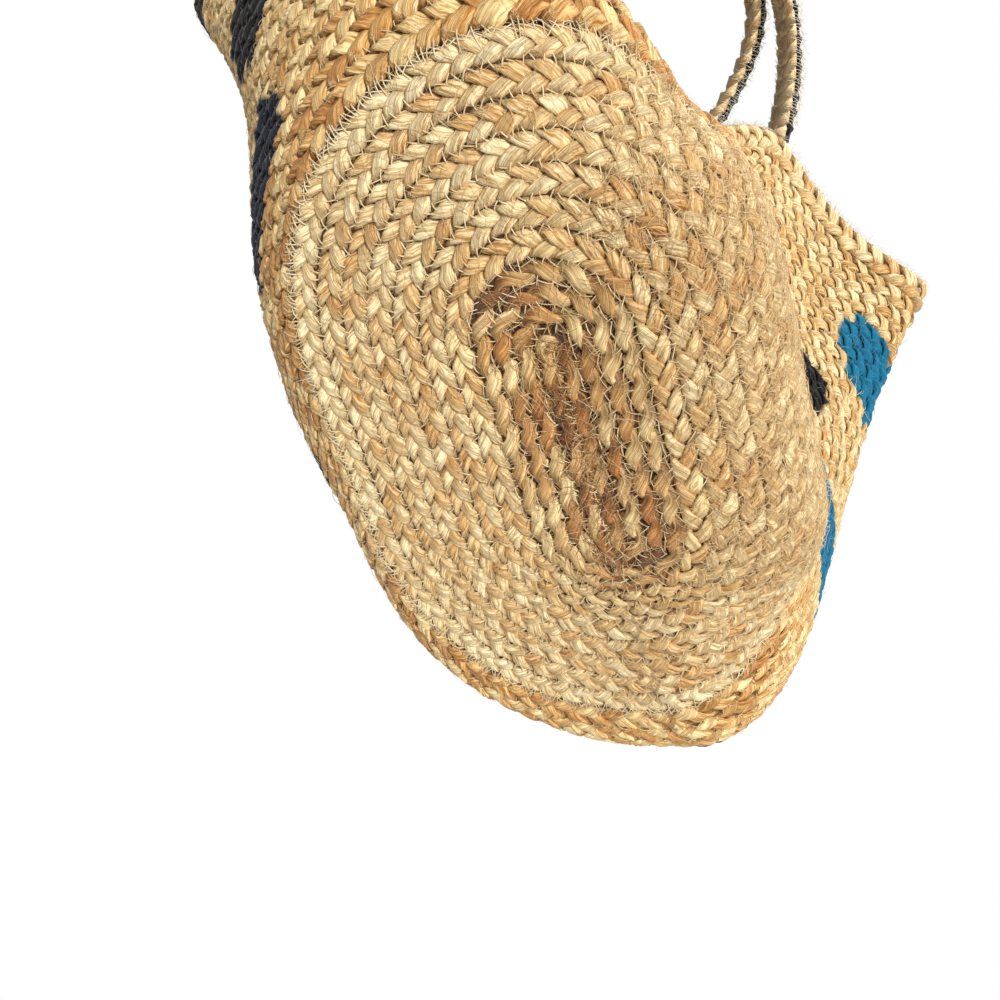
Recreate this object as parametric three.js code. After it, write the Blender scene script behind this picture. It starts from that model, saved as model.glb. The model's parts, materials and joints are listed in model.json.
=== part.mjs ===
// Braided jute tote bag with an oval coiled base and two hand loops.
// Millimetres, +Z up, standing on its base. The base's long side runs along X.
// The bag is soft: its mouth is turned and pushed over to one side of the base,
// and the front of the base is curled up into the wall.
import * as THREE from 'three';

// Stations around the bag, in order: far, far-back, back, near-back,
// near, near-front, front, far-front. +X is far, +Y is back.
const STATION_COUNT = 8;
const RING_STEPS = 84;

// Base: rows of braid sewn round a straight core.
const core_half_length = 40;
const core_zone_radius = 30;
const base_radius = 120;
const edge_row_width = 11.4;
const braid_thickness = 8;
const seam_gap = 0.3;
const wall_seam_gap = 0.7;
const rim_gap = 2.25;
const slope_reach = 6;

// Curl of the base's front, flat out to flat_radius and then on an arc.
const flat_radius = 38;
const curl_radius = 46;
const curl_shares = [0.1, 0, 0, 0, 0.15, 0.9, 1, 0.75];

// Wall: every line from the sewn edge to the rim is one smooth curve.
const wall_start = 1.1;
const start_pulls = [380, 360, 320, 240, 320, 200, 150, 200];
const start_angles_deg = [5, 10, 28, 40, 25, 60, 85, 60];
const rim_pulls = [400, 360, 330, 280, 250, 350, 420, 420];
const rim_headings = [
  [-0.55, -0.50, 0.68], [-0.45, -0.45, 0.78], [-0.25, -0.40, 0.88], [-0.30, -0.10, 0.94],
  [-0.30, 0.10, 0.95], [-0.30, -0.10, 0.94], [-0.27, -0.31, 0.91], [-0.42, -0.42, 0.80],
];
const lower_band_share = 0.3;
const middle_band_share = 0.63;

// Mouth: a long loop, turned against the base and drawn out of line at both ends.
const mouth_turn_deg = -24;
const mouth_half_length = 234;
const mouth_half_gap = 55;
const mouth_near_widen_share = 0.5;
const mouth_shift_along = -112;
const mouth_shift_across = -10;
const mouth_far_skew = 69;
const mouth_near_skew = 190;
const far_skew_power = 4;
const near_skew_power = 2;
const rim_height = 320;
const rim_peak = 12;
const rim_peak_spread_share = 0.2;
const rim_sag = 85;
const front_root_share = 0.44;
const back_root_share = 0.36;
const sag_ramp_share = 0.75;
const rim_braid_width = 14;
const rim_braid_thickness = 9;

// Hand loops: a natural braid inside, a dyed braid sewn on its outer side.
const strap_width = 20;
const inner_strap_thickness = 8;
const outer_strap_thickness = 6;
const loop_height = 245;
const root_lift = 16.6;
const front_loop_lean_deg = -12;
const back_loop_lean_deg = -31;
const front_loop_drift = 45;
const back_loop_drift = -20;
const STRAP_STEPS = 64;
const END_STEPS = 4;

const BANDS = 5;
const CURVE_SAMPLES = 60;
const RADIANS = Math.PI / 180;
const UP = new THREE.Vector3(0, 0, 1);

const JUTE = { color: 0xd7b47d, roughness: 0.85, metalness: 0 };
const DARK_JUTE = { color: 0xa5733f, roughness: 0.88, metalness: 0 };
const EDGE_JUTE = { color: 0xe0c08a, roughness: 0.85, metalness: 0 };
const BLACK_JUTE = { color: 0x17171a, roughness: 0.8, metalness: 0 };

const smooth = (x) => {
  const k = Math.min(Math.max(x, 0), 1);
  return k * k * (3 - 2 * k);
};

// Value of an eight-station table at an angle, eased from station to station.
function atAngle(table, angle) {
  const turn = ((angle / (2 * Math.PI)) % 1 + 1) % 1 * STATION_COUNT;
  const first = Math.floor(turn) % STATION_COUNT;
  const second = (first + 1) % STATION_COUNT;
  const share = smooth(turn - Math.floor(turn));
  const mix = (a, b) => a + (b - a) * share;
  if (!Array.isArray(table[first])) return mix(table[first], table[second]);
  return new THREE.Vector3(...table[first].map((value, axis) => mix(value, table[second][axis])));
}

// Point of the core line and outward angle of each ring step, even along the sewn edge.
function ringStations() {
  const quarter = Math.PI * base_radius / 2;
  const straight = 2 * core_half_length;
  const length = 4 * quarter + 2 * straight;
  const stations = [];
  for (let step = 0; step < RING_STEPS; step += 1) {
    const run = step / RING_STEPS * length;
    let angle = run / base_radius;
    let core = core_half_length;
    if (run >= 3 * quarter + 2 * straight) {
      angle = (run - 2 * straight) / base_radius;
    } else if (run >= 3 * quarter + straight) {
      angle = 1.5 * Math.PI;
      core = run - 3 * quarter - straight - core_half_length;
    } else if (run >= quarter + straight) {
      angle = (run - straight) / base_radius;
      core = -core_half_length;
    } else if (run >= quarter) {
      angle = Math.PI / 2;
      core = core_half_length - (run - quarter);
    }
    const outward = new THREE.Vector3(Math.cos(angle), Math.sin(angle), 0);
    stations.push({ core, angle, outward, phase: 2 * Math.PI * step / RING_STEPS });
  }
  return stations;
}

// Middle of the base's cloth at a distance along it, with its slope.
function basePoint(station, distance) {
  const curl = Math.max(atAngle(curl_shares, station.angle), Number.EPSILON ** 0.5) / curl_radius;
  const slope = Math.max(distance - flat_radius, 0) * curl;
  const out = Math.min(distance, flat_radius) + Math.sin(slope) / curl;
  const point = station.outward.clone().multiplyScalar(out);
  point.x += station.core;
  point.z += braid_thickness / 2 + (1 - Math.cos(slope)) / curl;
  return { point, slope };
}

// Middle of the rim braid at a phase of the mouth.
function mouthPoint(phase, heading) {
  const root_share = Math.sin(phase) < 0 ? front_root_share : back_root_share;
  const along = Math.cos(phase);
  const nearness = Math.max(-along, 0);
  const gap = mouth_half_gap * (1 + mouth_near_widen_share * nearness);
  const far_skew = mouth_far_skew * Math.max(along, 0) ** far_skew_power;
  const near_skew = mouth_near_skew * nearness ** near_skew_power;
  const u = mouth_shift_along + mouth_half_length * along;
  const v = mouth_shift_across + gap * Math.sin(phase) - far_skew + near_skew;
  const turn = mouth_turn_deg * RADIANS;
  const from_root = (Math.abs(along) - root_share) / rim_peak_spread_share;
  const height = rim_height + rim_peak * Math.exp(-from_root * from_root);
  const x = u * Math.cos(turn) - v * Math.sin(turn);
  const y = u * Math.sin(turn) + v * Math.cos(turn);
  const sag = rim_sag * smooth((root_share - Math.abs(along)) / (root_share * sag_ramp_share));
  return new THREE.Vector3(x, y, height).addScaledVector(heading, -sag);
}

// Points of one wall line from the sewn edge to the rim, with their distances.
function wallLine(station) {
  const { point: edge, slope } = basePoint(station, base_radius);
  const angle = Math.max(atAngle(start_angles_deg, station.angle) * RADIANS, slope);
  const pull = atAngle(start_pulls, station.angle);
  const leave = station.outward.clone().multiplyScalar(Math.cos(angle) * pull);
  leave.addScaledVector(UP, Math.sin(angle) * pull);
  const heading = atAngle(rim_headings, station.angle).normalize();
  const rim = mouthPoint(station.phase, heading);
  const arrive = heading.clone().multiplyScalar(atAngle(rim_pulls, station.angle));
  const points = [];
  const runs = [0];
  for (let sample = 0; sample <= CURVE_SAMPLES; sample += 1) {
    const s = sample / CURVE_SAMPLES;
    const point = edge.clone().multiplyScalar(2 * s ** 3 - 3 * s ** 2 + 1);
    point.addScaledVector(leave, s ** 3 - 2 * s ** 2 + s);
    point.addScaledVector(rim, 3 * s ** 2 - 2 * s ** 3);
    point.addScaledVector(arrive, s ** 3 - s ** 2);
    if (sample > 0) runs.push(runs[sample - 1] + point.distanceTo(points[sample - 1]));
    points.push(point);
  }
  return { points, runs, length: runs[CURVE_SAMPLES], rim, heading };
}

function alongWall(line, run) {
  const kept = Math.min(Math.max(run, 0), line.length);
  let next = 1;
  while (next < CURVE_SAMPLES && line.runs[next] < kept) next += 1;
  const share = (kept - line.runs[next - 1]) / (line.runs[next] - line.runs[next - 1]);
  return line.points[next - 1].clone().lerp(line.points[next], share);
}

// Mesh from a list of points and triangles.
function solid(name, points, triangles, look) {
  const geometry = new THREE.BufferGeometry();
  const numbers = points.flatMap((point) => [point.x, point.y, point.z]);
  geometry.setAttribute('position', new THREE.Float32BufferAttribute(numbers, 3));
  geometry.setIndex(triangles);
  geometry.computeVertexNormals();
  const mesh = new THREE.Mesh(geometry, new THREE.MeshStandardMaterial(look));
  mesh.name = name;
  return mesh;
}

// Joins rings of equal length into one skin, each ring closed on itself.
// The last join, back to the first ring, is cut along the other diagonal,
// so that two bands that meet at a seam have end faces of the same shape.
function ringSkin(rings, closed_path) {
  const size = rings[0].length;
  const triangles = [];
  const joins = closed_path ? rings.length : rings.length - 1;
  for (let ring = 0; ring < joins; ring += 1) {
    const here = ring * size;
    const there = (ring + 1) % rings.length * size;
    for (let step = 0; step < size; step += 1) {
      const next = (step + 1) % size;
      if (there > here) {
        triangles.push(here + step, here + next, there + next);
        triangles.push(here + step, there + next, there + step);
      } else {
        triangles.push(here + step, here + next, there + step);
        triangles.push(here + next, there + next, there + step);
      }
    }
  }
  return triangles;
}

// Cloth of braid thickness between two distances: out along one face, back along the other.
function clothBand(name, size, pointAt, from, to, look) {
  const side = braid_thickness / 2;
  const reach = (step, row) => from(step) + (to(step) - from(step)) * row / BANDS;
  const offset = (row, step, distance) => {
    const run = reach(step, row);
    const above = pointAt(step, run + slope_reach);
    const below = pointAt(step, run - slope_reach);
    const next = (step + 1) % size;
    const last = (step + size - 1) % size;
    const ahead = pointAt(next, reach(next, row));
    const behind = pointAt(last, reach(last, row));
    const normal = ahead.sub(behind).cross(above.sub(below)).normalize();
    return pointAt(step, run).addScaledVector(normal, distance);
  };
  const face = (distance) => Array.from({ length: BANDS + 1 }, (_, row) => (
    Array.from({ length: size }, (__, step) => offset(row, step, distance))));
  const rings = [...face(side), ...face(-side).reverse()];
  return solid(name, rings.flat(), ringSkin(rings, true), look);
}

// Braid running round the bag, with an oval section given by two directions at each step.
function ringBraid(name, middles, wides, thicks, look) {
  const PROFILE_STEPS = 8;
  const rings = middles.map((middle, step) => {
    const ring = [];
    for (let corner = 0; corner < PROFILE_STEPS; corner += 1) {
      const angle = 2 * Math.PI * corner / PROFILE_STEPS;
      const point = middle.clone().addScaledVector(wides[step], Math.cos(angle));
      ring.push(point.addScaledVector(thicks[step], Math.sin(angle)));
    }
    return ring;
  });
  return solid(name, rings.flat(), ringSkin(rings, true), look);
}

function baseCore() {
  const shape = new THREE.Shape();
  shape.absarc(core_half_length, 0, core_zone_radius, -Math.PI / 2, Math.PI / 2, false);
  shape.absarc(-core_half_length, 0, core_zone_radius, Math.PI / 2, 1.5 * Math.PI, false);
  const geometry = new THREE.ExtrudeGeometry(shape, { depth: braid_thickness, bevelEnabled: false });
  const mesh = new THREE.Mesh(geometry, new THREE.MeshStandardMaterial(DARK_JUTE));
  mesh.name = 'base_core';
  return mesh;
}

function baseCoil(stations) {
  const pointAt = (step, run) => basePoint(stations[step], run).point;
  const from = () => core_zone_radius + seam_gap;
  const to = () => base_radius - edge_row_width - seam_gap;
  return clothBand('base_coil', stations.length, pointAt, from, to, JUTE);
}

function baseEdge(stations) {
  const reach = base_radius - edge_row_width / 2;
  const spots = stations.map((station) => ({ station, ...basePoint(station, reach) }));
  const wides = spots.map(({ station, slope }) => {
    const way = station.outward.clone().multiplyScalar(Math.cos(slope)).addScaledVector(UP, Math.sin(slope));
    return way.multiplyScalar(edge_row_width / 2);
  });
  const thicks = spots.map(({ station, slope }) => {
    const way = station.outward.clone().multiplyScalar(-Math.sin(slope)).addScaledVector(UP, Math.cos(slope));
    return way.multiplyScalar(-braid_thickness / 2);
  });
  return ringBraid('base_edge_row', spots.map(({ point }) => point), wides, thicks, EDGE_JUTE);
}

// Unit directions across the rim braid at each step: in the cloth, and through it.
function rimFrames(lines) {
  const size = lines.length;
  return lines.map((line, step) => {
    const run = lines[(step + 1) % size].rim.clone().sub(lines[(step + size - 1) % size].rim);
    const through = run.clone().cross(line.heading).normalize();
    const wide = through.clone().cross(run).normalize();
    return { wide, through, squareness: Math.abs(wide.dot(line.heading)) };
  });
}

function wallBands(lines) {
  const frames = rimFrames(lines);
  const rim_room = rim_braid_width / 2 + rim_gap;
  const pointAt = (step, run) => alongWall(lines[step], run);
  const start = () => wall_start;
  const share = (part, gap) => (step) => lines[step].length * part + gap;
  const top = (step) => lines[step].length - rim_room / frames[step].squareness;
  const band = (name, from, to) => clothBand(name, lines.length, pointAt, from, to, JUTE);
  return [
    band('wall_lower', start, share(lower_band_share, 0)),
    band('wall_middle', share(lower_band_share, wall_seam_gap), share(middle_band_share, 0)),
    band('wall_upper', share(middle_band_share, wall_seam_gap), top),
  ];
}

function rimBraid(lines) {
  const frames = rimFrames(lines);
  const wides = frames.map(({ wide }) => wide.clone().multiplyScalar(rim_braid_width / 2));
  const thicks = frames.map(({ through }) => through.clone().multiplyScalar(-rim_braid_thickness / 2));
  return ringBraid('rim_braid', lines.map((line) => line.rim), wides, thicks, EDGE_JUTE);
}

// Frame of one hand loop: its two roots, the line between them and its up direction.
function loopFrame(side, lean_deg, drift) {
  const phase = side * Math.acos(side < 0 ? front_root_share : back_root_share);
  const still = new THREE.Vector3();
  const far_root = mouthPoint(phase, still).addScaledVector(UP, root_lift);
  const near_root = mouthPoint(side * Math.PI - phase, still).addScaledVector(UP, root_lift);
  const along = near_root.clone().sub(far_root);
  const span = along.length();
  along.normalize();
  const across = along.clone().cross(UP).normalize();
  const rise = UP.clone().applyAxisAngle(along, lean_deg * RADIANS);
  const width = along.clone().cross(rise).normalize();
  return { far_root, span, along, rise, width, across, drift };
}

// Middle line of the loop: up from one root, over a top that drifts along, and down.
function loopPath(frame, inset) {
  const half = frame.span / 2;
  const spot = (angle) => frame.far_root.clone()
    .addScaledVector(frame.along, half * (1 - Math.cos(angle)) + frame.drift * Math.sin(angle))
    .addScaledVector(frame.rise, loop_height * Math.sin(angle));
  const path = [];
  for (let step = 0; step <= STRAP_STEPS; step += 1) {
    const angle = Math.PI * step / STRAP_STEPS;
    const way = spot(angle + 0.001).sub(spot(angle - 0.001)).normalize();
    path.push(spot(angle).addScaledVector(way.cross(frame.width).normalize(), inset));
  }
  return path;
}

// Strap of one loop, swept with a rounded box section and closed at both round ends.
function strap(name, frame, inset, thickness, look) {
  const path = loopPath(frame, inset);
  const runs = [0];
  for (let step = 1; step < path.length; step += 1) {
    runs.push(runs[step - 1] + path[step].distanceTo(path[step - 1]));
  }
  const total = runs[STRAP_STEPS];
  const round = strap_width / 2;
  const spots = [];
  for (let step = 0; step < END_STEPS; step += 1) {
    spots.push(round * (1 - Math.cos(Math.PI / 2 * (step + 0.5) / END_STEPS)) - round);
  }
  for (let step = 0; step <= STRAP_STEPS; step += 1) spots.push(total * step / STRAP_STEPS);
  const all = [...spots, ...spots.slice(0, END_STEPS).reverse().map((run) => total - run)];
  const curve = (run) => {
    const kept = Math.min(Math.max(run, 0), total);
    let next = 1;
    while (next < STRAP_STEPS && runs[next] < kept) next += 1;
    const share = (kept - runs[next - 1]) / (runs[next] - runs[next - 1]);
    const way = path[next].clone().sub(path[next - 1]).normalize();
    const point = path[next - 1].clone().lerp(path[next], share);
    const bend_share = Math.min(kept, total - kept) / round;
    if (bend_share < 1) way.lerp(frame.rise.clone().multiplyScalar(kept < total / 2 ? 1 : -1), 1 - bend_share);
    return { point: point.addScaledVector(way.normalize(), run - kept), way };
  };
  const CORNERS = [[1, -0.6], [1, 0.6], [0.7, 1], [-0.7, 1], [-1, 0.6], [-1, -0.6], [-0.7, -1], [0.7, -1]];
  const rings = all.map((run) => {
    const { point, way } = curve(run);
    const beyond = Math.max(-run, run - total, 0);
    const half_width = Math.sqrt(Math.max(round * round - beyond * beyond, 0));
    const outside = frame.width.clone().cross(way).normalize();
    return CORNERS.map(([wide, thick]) => point.clone()
      .addScaledVector(frame.width, wide * half_width)
      .addScaledVector(outside, thick * thickness / 2));
  });
  const triangles = ringSkin(rings, false);
  const size = CORNERS.length;
  const last = (rings.length - 1) * size;
  for (let corner = 1; corner < size - 1; corner += 1) {
    triangles.push(0, corner + 1, corner);
    triangles.push(last, last + corner, last + corner + 1);
  }
  return solid(name, rings.flat(), triangles, look);
}

function handLoop(place, side, lean_deg, drift) {
  const frame = loopFrame(side, lean_deg, drift);
  const inner_inset = (outer_strap_thickness + inner_strap_thickness) / 2 + seam_gap;
  return [
    strap(`handle_${place}_inner`, frame, inner_inset, inner_strap_thickness, JUTE),
    strap(`handle_${place}_outer`, frame, 0, outer_strap_thickness, BLACK_JUTE),
  ];
}

// Turns a mesh inside out when its faces point inwards.
function faceOutward(mesh) {
  const { geometry } = mesh;
  const place = geometry.getAttribute('position');
  const index = geometry.index ? geometry.index.array : null;
  const count = index ? index.length : place.count;
  const corner = (k) => new THREE.Vector3().fromBufferAttribute(place, index ? index[k] : k);
  let volume = 0;
  for (let k = 0; k < count; k += 3) volume += corner(k).dot(corner(k + 1).cross(corner(k + 2)));
  if (volume < 0 && index) {
    for (let k = 0; k < count; k += 3) [index[k + 1], index[k + 2]] = [index[k + 2], index[k + 1]];
    geometry.computeVertexNormals();
  }
}

function build() {
  const stations = ringStations();
  const lines = stations.map(wallLine);
  const bag = new THREE.Group();
  bag.name = 'straw_tote_bag';
  bag.add(baseCore(), baseCoil(stations), baseEdge(stations));
  bag.add(...wallBands(lines), rimBraid(lines));
  bag.add(...handLoop('front', -1, front_loop_lean_deg, front_loop_drift));
  bag.add(...handLoop('back', 1, back_loop_lean_deg, back_loop_drift));
  bag.children.forEach(faceOutward);
  const box = new THREE.Box3().setFromObject(bag);
  const middle = box.getCenter(new THREE.Vector3());
  bag.children.forEach((mesh) => mesh.geometry.translate(-middle.x, -middle.y, 0));
  return bag;
}

export default build();
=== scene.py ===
# %% [markdown]
# A straw tote bag is one long flat braid of jute, sewn row against row: round a short
# core for the oval base, then up the walls to a wider braid at the mouth, where two
# braided hand loops are sewn on. A smooth shell with bump could stand for it, but light
# and shade between strands are what makes braid look like braid, so every row is three
# real strands. The cloth's shape is a rule, written once in millimetres from the middle
# of the core, whose place in the model gives the shift.
# %% Load the imported frame
import json
import math

import bpy
import numpy as np
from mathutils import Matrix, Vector

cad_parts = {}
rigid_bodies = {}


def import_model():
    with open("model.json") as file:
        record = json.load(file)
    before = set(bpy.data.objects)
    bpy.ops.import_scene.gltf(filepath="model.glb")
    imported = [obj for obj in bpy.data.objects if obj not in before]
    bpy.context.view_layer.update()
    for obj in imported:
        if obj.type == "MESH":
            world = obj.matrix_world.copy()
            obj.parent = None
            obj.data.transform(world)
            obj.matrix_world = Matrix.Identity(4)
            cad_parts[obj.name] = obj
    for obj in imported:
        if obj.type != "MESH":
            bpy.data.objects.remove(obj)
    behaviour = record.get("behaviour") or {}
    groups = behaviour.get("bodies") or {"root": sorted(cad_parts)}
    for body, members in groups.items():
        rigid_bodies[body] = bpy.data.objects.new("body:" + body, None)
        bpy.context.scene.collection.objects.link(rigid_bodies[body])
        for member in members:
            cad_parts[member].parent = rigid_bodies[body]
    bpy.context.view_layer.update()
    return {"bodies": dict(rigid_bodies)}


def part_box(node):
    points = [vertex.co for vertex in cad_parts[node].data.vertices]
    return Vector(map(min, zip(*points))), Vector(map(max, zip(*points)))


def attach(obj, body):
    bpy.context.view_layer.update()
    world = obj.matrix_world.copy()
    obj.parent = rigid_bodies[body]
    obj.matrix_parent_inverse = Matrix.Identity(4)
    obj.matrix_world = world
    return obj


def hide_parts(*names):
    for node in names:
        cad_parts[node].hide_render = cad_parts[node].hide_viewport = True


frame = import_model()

MM = 0.001
core_low, core_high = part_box("base_core")
SHIFT = np.array([(core_low[0] + core_high[0]) / 2, (core_low[1] + core_high[1]) / 2, 0]) / MM
print("bodies", list(frame["bodies"]), "shift of the base in mm", SHIFT.round(2))

# %% [markdown]
# The photograph looks up at the base from below and beyond the front, so the camera
# stands under the floor. A 36 mm lens on a 36 mm sensor gives its close view.
# %% Camera
def placed(name, data):
    """A new object in the scene that shows a mesh, a lamp or a camera."""
    thing = bpy.data.objects.new(name, data)
    bpy.context.scene.collection.objects.link(thing)
    return thing


camera = placed("camera", bpy.data.cameras.new("camera"))
camera.data.sensor_width = camera.data.lens = 36
camera.data.clip_start = 0.01
camera.location = Vector((np.array([-163.596, -153.930, -362.569]) + SHIFT) * MM)
camera.rotation_euler = [math.radians(turn) for turn in (147.736, -19.748, -72.0395)]
bpy.context.scene.camera = camera
print("camera at", [round(value, 3) for value in camera.location])

# %% [markdown]
# Shader and geometry trees are easier to read as sums than as lists of links. A Wire is
# a socket that Python can add and multiply, and one method makes every other node.
# %% Nodes as sums
class Wire:
    """A node's output that Python sums can use; each sum adds a Math node."""

    def __init__(self, nodes, socket):
        self.nodes, self.socket = nodes, socket

    def __getitem__(self, name):
        """Another output of the same node."""
        return Wire(self.nodes, self.socket.node.outputs[name])

    def math(self, operation, *others):
        return self.nodes.math(operation, self, *others)

    def __add__(self, other):
        return self.math("ADD", other)

    def __sub__(self, other):
        return self.math("SUBTRACT", other)

    def __rsub__(self, other):
        return self.nodes.math("SUBTRACT", other, self)

    def __mul__(self, other):
        return self.math("MULTIPLY", other)

    def __truediv__(self, other):
        return self.math("DIVIDE", other)

    __radd__, __rmul__ = __add__, __mul__


class Nodes:
    """Adds nodes to a tree: settings first, then the values or links of the sockets."""

    def __init__(self, tree):
        self.tree = tree

    def add(self, kind, sockets=None, out=0, stops=(), **settings):
        node = self.tree.nodes.new(kind)
        for place, (at, colour) in enumerate(stops):
            elements = node.color_ramp.elements
            stop = elements[place] if place < len(elements) else elements.new(at)
            stop.position, stop.color = at, colour
        for name, value in settings.items():
            setattr(node, name, value)
        for key, value in (sockets or {}).items():
            if isinstance(value, Wire):
                self.tree.links.new(value.socket, node.inputs[key])
            else:
                node.inputs[key].default_value = value
        return Wire(self, node.outputs[out]) if len(node.outputs) else node

    def math(self, operation, *values):
        return self.add("ShaderNodeMath", dict(enumerate(values)), operation=operation)

    def vector(self, operation, one, other):
        return self.add("ShaderNodeVectorMath", {0: one, 1: other}, operation=operation)

    def scaled(self, vector, factor):
        return self.add("ShaderNodeVectorMath", {0: vector, "Scale": factor}, operation="SCALE")

    def xyz(self, x, y, z):
        return self.add("ShaderNodeCombineXYZ", {0: x, 1: y, 2: z})

    def mixed(self, factor, one, other, blend="MIX"):
        sockets = {0: factor, 6: one, 7: other}
        return self.add("ShaderNodeMix", sockets, out=2, data_type="RGBA", blend_type=blend)

    def ramp(self, value, stops):
        return self.add("ShaderNodeValToRGB", {0: value}, stops=stops)

    def ranged(self, value, low, high, to_low=0.0, to_high=1.0):
        sockets = {0: value, 1: low, 2: high, 3: to_low, 4: to_high}
        return self.add("ShaderNodeMapRange", sockets, interpolation_type="SMOOTHSTEP")


def linear(red, green, blue):
    """A colour given for a screen, in the linear values that shaders use."""
    shares = [value / 255 for value in (red, green, blue)]
    return [s / 12.92 if s <= 0.04045 else ((s + 0.055) / 1.055) ** 2.4 for s in shares] + [1.0]


print("middle grey as a linear value", round(linear(128, 128, 128)[0], 3))

# %% [markdown]
# A pale floor, a white world and soft light from above and below. The floor shows only
# its upper side and lets light through from below, where the camera is. The lamps give a
# plain level; the white comes from Light Path.
# %% Stage
WHITE = (1, 1, 1, 1)


def fresh_nodes(holder):
    """The emptied node tree of a material or a world."""
    holder.use_nodes = True
    holder.node_tree.nodes.clear()
    return Nodes(holder.node_tree)


def new_material(name):
    material = bpy.data.materials.new(name)
    return material, fresh_nodes(material)


def build_floor(half=4.0, level=-0.0005):
    mesh = bpy.data.meshes.new("floor")
    corners = [(x * half, y * half, level) for x, y in ((-1, -1), (1, -1), (1, 1), (-1, 1))]
    mesh.from_pydata(corners, [], [(0, 1, 2, 3)])
    floor = placed("floor", mesh)
    material, nodes = new_material("pale_floor")
    above = 1 - nodes.add("ShaderNodeNewGeometry")["Backfacing"]
    pale = nodes.add("ShaderNodeBsdfDiffuse", {"Color": linear(236, 236, 234)})
    glow = nodes.add("ShaderNodeEmission", {"Color": WHITE, "Strength": 0.28})
    surface = nodes.add("ShaderNodeAddShader", {0: pale, 1: glow})
    clear = nodes.add("ShaderNodeBsdfTransparent")
    seen = nodes.add("ShaderNodeLightPath")["Is Camera Ray"] * above
    both = nodes.add("ShaderNodeMixShader", {0: seen, 1: clear, 2: surface})
    nodes.add("ShaderNodeOutputMaterial", {"Surface": both})
    mesh.materials.append(material)


def build_world(ambient):
    world = bpy.data.worlds.new("studio")
    nodes = fresh_nodes(world)
    rays = nodes.add("ShaderNodeLightPath")
    shown = rays["Is Camera Ray"].math("MAXIMUM", rays["Is Glossy Ray"])
    shown = shown.math("MAXIMUM", rays["Is Transmission Ray"])
    strength = shown * (1 - ambient) + ambient
    sky = nodes.add("ShaderNodeBackground", {"Color": WHITE, "Strength": strength})
    nodes.add("ShaderNodeOutputWorld", {"Surface": sky})
    bpy.context.scene.world = world


def build_sun(name, toward, strength, softness_deg):
    lamp = bpy.data.lights.new(name, "SUN")
    lamp.energy, lamp.angle = strength, math.radians(softness_deg)
    sun = placed(name, lamp)
    sun.rotation_mode = "QUATERNION"
    sun.rotation_quaternion = Vector(toward).to_track_quat("-Z", "Y")


build_floor()
build_world(ambient=0.34)
build_sun("sun_from_below", toward=(0.30, 0.72, 0.72), strength=3.0, softness_deg=10)
build_sun("sun_from_above", toward=(0.45, 0.55, -0.75), strength=1.7, softness_deg=35)
build_sun("sun_from_behind", toward=(-0.45, -0.62, -0.55), strength=0.85, softness_deg=40)
bpy.context.scene.view_settings.view_transform = "Standard"
print("lamps", {lamp.name: round(lamp.energy, 2) for lamp in bpy.data.lights})

# %% [markdown]
# The bag's cloth is a loft. Eight stations round the bag say how the base curls, how the
# wall leaves it and how it arrives at the rim, and every value is eased between them:
# far, far-back, back, near-back, near, near-front, front, far-front. Sculpting would be
# freer, but a rule spaces the rows evenly.
# %% Stations and sizes of the cloth
CORE_HALF, BASE_RADIUS, EDGE_ROW, CLOTH = 40.0, 120.0, 11.4, 8.0
FLAT_RADIUS, CURL_RADIUS = 38.0, 46.0
WALL_START, RIM_WIDTH, RIM_THICK, RIM_GAP = 1.1, 14.0, 9.0, 2.25
CURLS = [0.1, 0, 0, 0, 0.15, 0.9, 1, 0.75]
START_PULLS = [380, 360, 320, 240, 320, 200, 150, 200]
START_ANGLES = [5, 10, 28, 40, 25, 60, 85, 60]
RIM_PULLS = [400, 360, 330, 280, 250, 350, 420, 420]
HEADINGS = [
    [-0.55, -0.50, 0.68], [-0.45, -0.45, 0.78], [-0.25, -0.40, 0.88], [-0.30, -0.10, 0.94],
    [-0.30, 0.10, 0.95], [-0.30, -0.10, 0.94], [-0.27, -0.31, 0.91], [-0.42, -0.42, 0.80],
]
AROUND = 720


def smooth(x):
    k = np.clip(x, 0, 1)
    return k * k * (3 - 2 * k)


def unit(vectors):
    return vectors / np.maximum(np.linalg.norm(vectors, axis=-1, keepdims=True), 1e-12)


def at_angle(table, angle):
    """Value of a table of stations at each angle, eased between them."""
    table = np.asarray(table, float)
    turn = (angle / (2 * math.pi) % 1) * len(table)
    first = np.floor(turn).astype(int) % len(table)
    share = smooth(turn - np.floor(turn))
    share = share if table.ndim == 1 else share[..., None]
    return table[first] * (1 - share) + table[(first + 1) % len(table)] * share


print(len(CURLS), "stations and", AROUND, "lines round the bag")

# %% [markdown]
# The base is an oval about a straight core line, flat in the middle and curled up along
# the front, as the slouched bag is. Its inmost rows lie a little to one side, so the grid
# is shifted and stretched there.
# %% The base as a grid
CORE_ZONE, CORE_STRETCH, CORE_SHIFT = 60.0, 0.22, 9


def ring_places(shares):
    """Point of the core line and outward angle at shares of the way round."""
    quarter, straight = math.pi * BASE_RADIUS / 2, 2 * CORE_HALF
    knots = np.cumsum([0, quarter, straight, 2 * quarter, straight, quarter])
    run = (shares % 1) * knots[-1]
    angle = np.interp(run, knots, np.array([0, 0.5, 0.5, 1.5, 1.5, 2]) * math.pi)
    core = np.interp(run, knots, np.array([1, 1, -1, -1, 1, 1]) * CORE_HALF)
    return core, angle


def base_points(core, angle, distance):
    """Points at one distance from the core line, and the slope of the cloth there."""
    curl = np.maximum(at_angle(CURLS, angle), 1e-8) / CURL_RADIUS
    slope = np.maximum(distance - FLAT_RADIUS, 0) * curl
    out = np.minimum(distance, FLAT_RADIUS) + np.sin(slope) / curl
    height = CLOTH / 2 + (1 - np.cos(slope)) / curl
    return np.stack([core + np.cos(angle) * out, np.sin(angle) * out, height + 0 * out], -1), slope


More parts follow.
